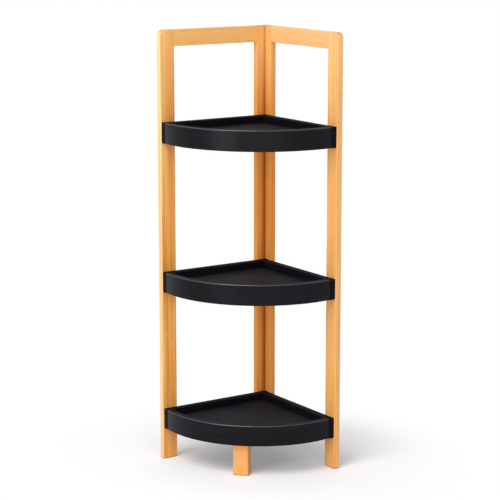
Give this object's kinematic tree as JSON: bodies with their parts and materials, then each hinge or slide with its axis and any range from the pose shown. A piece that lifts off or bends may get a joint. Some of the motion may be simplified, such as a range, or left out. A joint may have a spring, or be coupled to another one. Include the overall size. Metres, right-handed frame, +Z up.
{
  "type": "corner shelf",
  "caption": "Floor-standing corner shelf: bamboo frames at a right angle carry dark quarter-round trays with raised rims, with a short leg under the lowest tray's front.",
  "frame": {"origin": "on the floor, where the two walls of the room's corner meet: the outer edge of the mitre between the rear posts", "axes": "+Z up. The right-hand frame runs from the origin along +X with its wall face in the plane y = 0, and the left-hand frame along -Y with its wall face in the plane x = 0. The trays face the room, towards +X and -Y."},
  "size_m": [0.24, 0.24, 0.8],
  "materials": {
    "bamboo": "satin clear lacquer",
    "black_wood": "satin black stain and lacquer",
    "dowel_wood": "raw",
    "screw_steel": "zinc-plated"
  },
  "bodies": {
    "root": {"bottom_curved_rim": "black_wood", "bottom_left_rim": "black_wood", "bottom_right_rim": "black_wood", "bottom_tray_board": "black_wood", "bottom_tray_screws": "screw_steel", "centre_leg": "bamboo", "left_frame_dowels": "dowel_wood", "left_front_post": "bamboo", "left_rear_post": "bamboo", "left_top_rail": "bamboo", "leg_screws": "screw_steel", "middle_curved_rim": "black_wood", "middle_left_rim": "black_wood", "middle_right_rim": "black_wood", "middle_tray_board": "black_wood", "middle_tray_screws": "screw_steel", "right_frame_dowels": "dowel_wood", "right_front_post": "bamboo", "right_rear_post": "bamboo", "right_top_rail": "bamboo", "top_curved_rim": "black_wood", "top_left_rim": "black_wood", "top_right_rim": "black_wood", "top_tray_board": "black_wood", "top_tray_screws": "screw_steel"}
  },
  "joints": []
}
